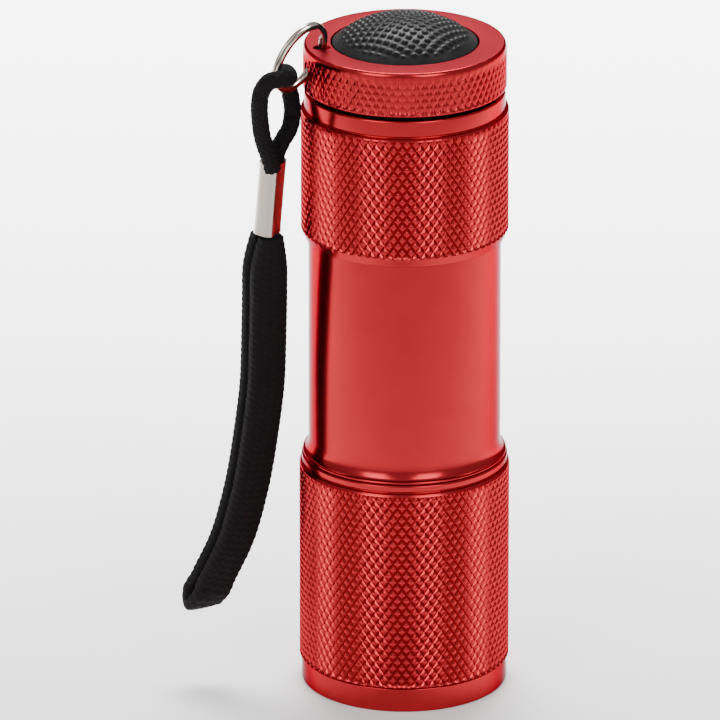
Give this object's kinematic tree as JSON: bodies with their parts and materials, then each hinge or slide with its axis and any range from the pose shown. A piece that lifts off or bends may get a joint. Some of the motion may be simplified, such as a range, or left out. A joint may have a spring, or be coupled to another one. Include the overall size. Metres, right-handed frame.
{
  "type": "keychain flashlight",
  "caption": "Pocket LED torch with a knurled red aluminium head and collar, rubber push-button tail switch, split ring and folded wrist lanyard.",
  "frame": {"origin": "On the surface the torch stands on, at the middle of the bezel's rim; the lens faces down.", "axes": "+Z runs along the torch from the bezel to the tail switch; the lanyard hole is on the -X side of the tail cap; +Y completes the right-handed frame."},
  "size_m": [0.0417, 0.0274, 0.0923],
  "materials": {
    "anodised_red": "red anodised aluminium, satin, fine diamond knurling on head, collar and cap",
    "nickel_plate": "nickel plated steel, polished",
    "spring_steel": "plated spring wire",
    "brass": "turned and pressed brass contacts",
    "reflector_chrome": "vacuum metallised plastic",
    "black_rubber": "moulded silicone rubber, matt",
    "black_braid": "braided polyester cord and flat braid",
    "black_plastic": "moulded ABS",
    "clear_lens": "clear acrylic window",
    "led_resin": "clear epoxy LED body",
    "circuit_board": "glass-epoxy board with green solder mask",
    "cell_wrap": "shrink film over a steel can"
  },
  "bodies": {
    "barrel": {"barrel": "anodised_red", "bezel": "anodised_red", "lens": "clear_lens", "lens_gasket": "black_rubber", "reflector": "reflector_chrome", "led_1": "led_resin", "led_2": "led_resin", "led_3": "led_resin", "led_4": "led_resin", "led_5": "led_resin", "led_6": "led_resin", "led_7": "led_resin", "led_8": "led_resin", "led_9": "led_resin", "led_board": "circuit_board", "board_spring": "spring_steel", "carrier_frame": "black_plastic", "carrier_end_plate": "black_plastic", "cell_1": "cell_wrap", "cell_2": "cell_wrap", "cell_3": "cell_wrap", "cell_spring_1": "spring_steel", "cell_spring_2": "spring_steel", "cell_spring_3": "spring_steel", "bridge_front": "nickel_plate", "bridge_rear": "nickel_plate", "contact_plus": "brass", "contact_minus": "brass"},
    "tail_seal": {"tail_oring": "black_rubber"},
    "tailcap": {"tailcap": "anodised_red", "switch_boot": "black_rubber", "switch_housing": "black_plastic", "switch_spring": "spring_steel", "switch_contact": "brass", "switch_retainer": "brass", "tail_spring": "spring_steel"},
    "button": {"switch_plunger": "black_plastic"},
    "ring": {"split_ring": "nickel_plate"},
    "lanyard": {"ring_loop": "black_braid", "ferrule": "nickel_plate", "wrist_loop": "black_braid"}
  },
  "joints": [
    {"name": "tail_lift", "type": "slide", "parent": "barrel", "child": "tail_seal", "axis": [0, 0, 1], "range_m": [0, 0.0048]},
    {"name": "tail_turn", "type": "hinge", "parent": "tail_seal", "child": "tailcap", "pos_m": [0, 0, 0.0845], "axis": [0, 0, 1], "range_deg": [0, 1440]},
    {"name": "button_press", "type": "slide", "parent": "tailcap", "child": "button", "axis": [0, 0, 1], "range_m": [-0.002, 0], "stiffness_N_per_m": 600, "springref_m": 0.001, "deforming": ["switch_boot", "switch_spring"]},
    {"name": "ring_swing", "type": "hinge", "parent": "tailcap", "child": "ring", "pos_m": [-0.01179, 0, 0.08596], "axis": [0.4772, 0, 0.8788], "range_deg": [-60, 25]},
    {"name": "lanyard_swing", "type": "hinge", "parent": "ring", "child": "lanyard", "pos_m": [-0.01642, -0.0026, 0.08324], "axis": [0.6808, 0.6808, -0.2703], "range_deg": [-2, 20]}
  ],
  "couplings": [
    {"joint": "tail_turn", "follows": "tail_lift", "rad_per_m": 5236}
  ]
}
